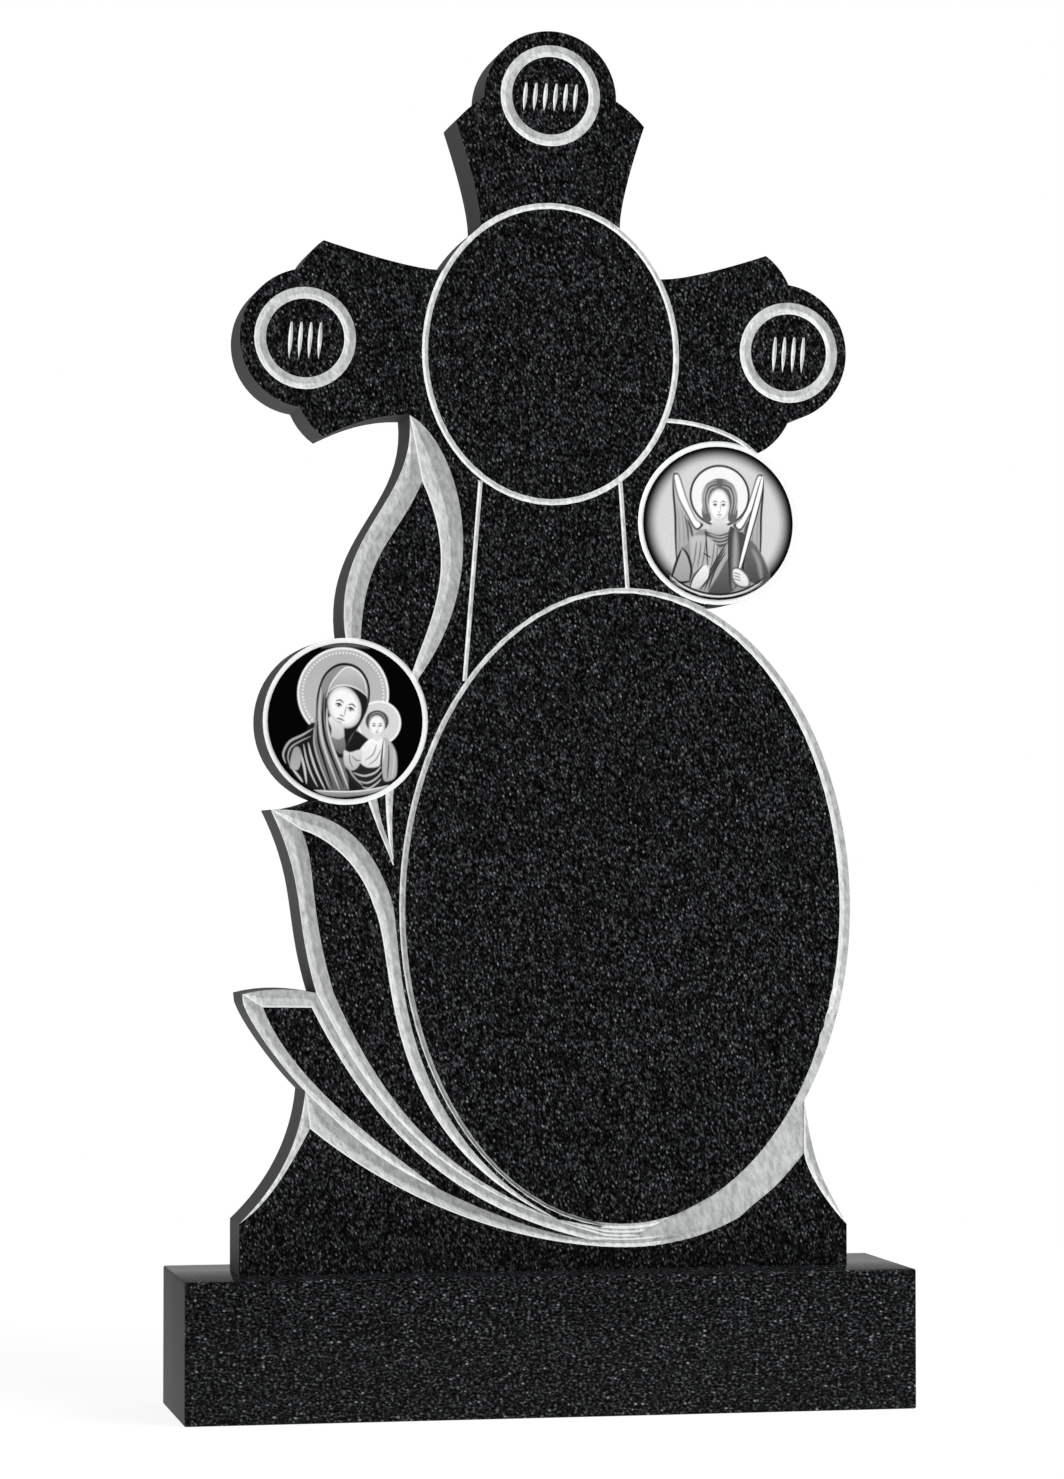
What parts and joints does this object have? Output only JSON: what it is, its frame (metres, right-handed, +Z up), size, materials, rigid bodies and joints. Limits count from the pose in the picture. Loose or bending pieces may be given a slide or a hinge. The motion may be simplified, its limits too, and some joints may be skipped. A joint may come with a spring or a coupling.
{
  "type": "carved headstone",
  "caption": "Upright dark granite headstone: a lobed cross over two ovals, carved leaves at one side, round picture medallions and a block plinth.",
  "frame": {"origin": "middle of the plinth's underside", "axes": "+Z up, +X to the right of someone facing the carved side, carved side facing -Y"},
  "size_m": [0.712, 0.18, 1.339],
  "materials": {
    "stele_granite": "polished face with fine grey flecks, honed sides and silver-grey ground carving",
    "plinth_granite": "polished front with fine grey flecks, honed top and sides"
  },
  "bodies": {
    "root": {"stele": "stele_granite", "plinth": "plinth_granite"}
  },
  "joints": []
}
